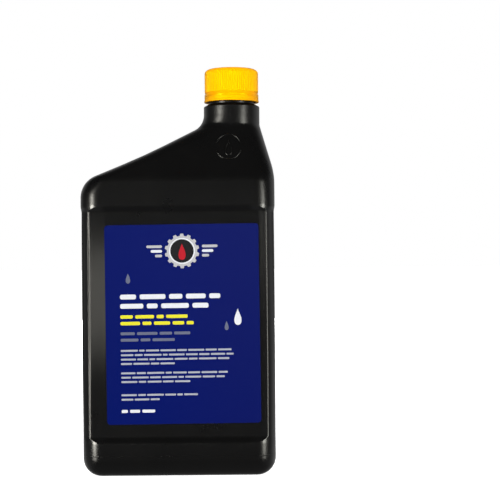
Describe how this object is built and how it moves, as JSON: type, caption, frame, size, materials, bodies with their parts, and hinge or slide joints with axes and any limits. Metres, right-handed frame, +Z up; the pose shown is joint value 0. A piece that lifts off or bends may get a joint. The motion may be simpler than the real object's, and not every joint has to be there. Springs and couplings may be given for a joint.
{
  "type": "motor oil bottle",
  "caption": "Black blow-moulded oil bottle with an offset neck, a ribbed yellow screw cap with its tamper band, and a blue label in a recessed front panel.",
  "frame": {"origin": "middle of the footprint, on the surface the bottle stands on", "axes": "+Z up, the label faces -Y, and the neck stands towards +X"},
  "size_m": [0.1102, 0.058, 0.2322],
  "materials": {
    "black_plastic": "semi-gloss blow-moulded polyethylene",
    "yellow_plastic": "satin moulded polypropylene",
    "seal_foam": "matt foamed disc",
    "label_film": "printed film with a soft shine"
  },
  "bodies": {
    "bottle": {"bottle": "black_plastic", "tamper_band": "yellow_plastic", "front_label": "label_film"},
    "seal": {"seal_disc": "seal_foam"},
    "cap": {"cap": "yellow_plastic"}
  },
  "joints": [
    {"name": "cap_lift", "type": "slide", "parent": "bottle", "child": "seal", "axis": [0, 0, 1], "range_m": [0, 0.02116]},
    {"name": "cap_turn", "type": "hinge", "parent": "seal", "child": "cap", "pos_m": [0.0309, 0, 0.22], "axis": [0, 0, 1], "range_deg": [0, 1800]}
  ],
  "couplings": [
    {"joint": "cap_lift", "follows": "cap_turn", "m_per_rad": 0.00067322}
  ]
}
